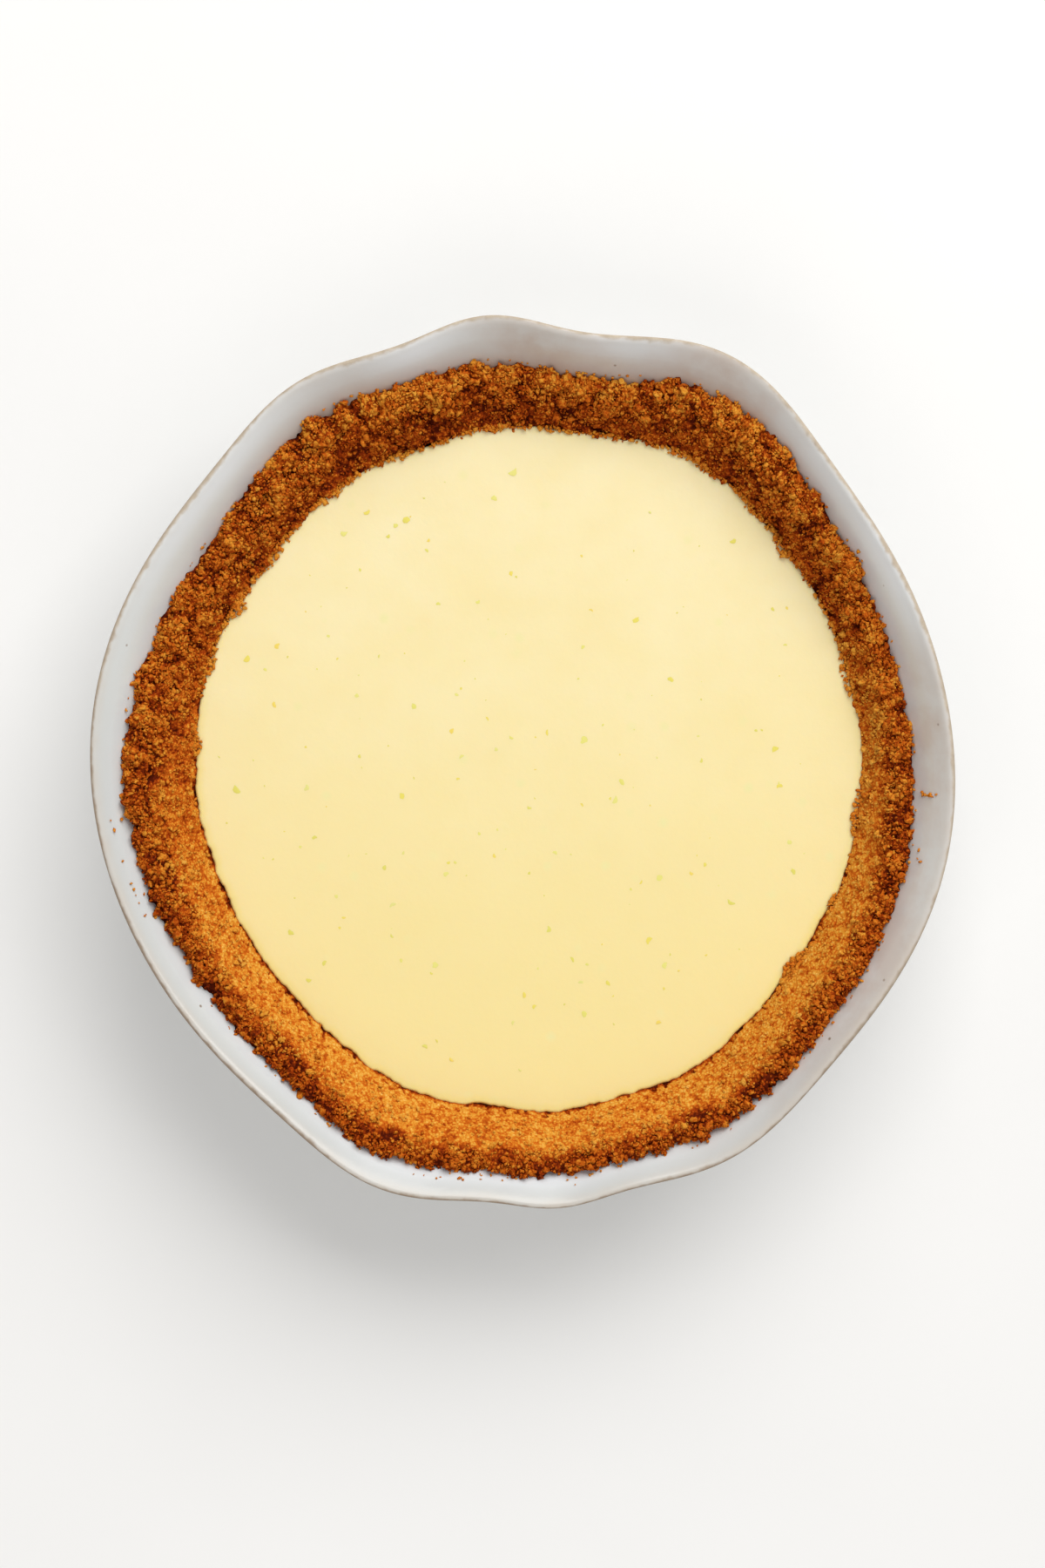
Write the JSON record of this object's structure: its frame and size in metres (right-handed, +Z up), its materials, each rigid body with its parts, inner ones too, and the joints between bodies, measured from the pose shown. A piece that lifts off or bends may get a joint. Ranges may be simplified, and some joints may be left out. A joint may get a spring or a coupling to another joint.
{
  "type": "key lime pie in a ruffled dish",
  "caption": "Round uncut key lime pie: smooth lime custard in a thick crumb crust, baked in a flared stoneware dish whose rim is pinched into ruffles.",
  "frame": {"origin": "middle of the dish's foot, on the surface that it stands on", "axes": "+Z up through the pie; +Y towards one group of ruffles on the rim, with the other group at -Y"},
  "size_m": [0.2527, 0.2608, 0.0499],
  "materials": {
    "dish": "pale grey-white glaze, satin to glossy, with a bare clay line along the lip",
    "crust": "baked biscuit crumb, matt and grainy, golden to reddish brown",
    "filling": "smooth set custard, pale yellow and satin, with flecks of lime zest"
  },
  "bodies": {
    "root": {"dish": "dish", "crust": "crust", "filling": "filling"}
  },
  "joints": []
}
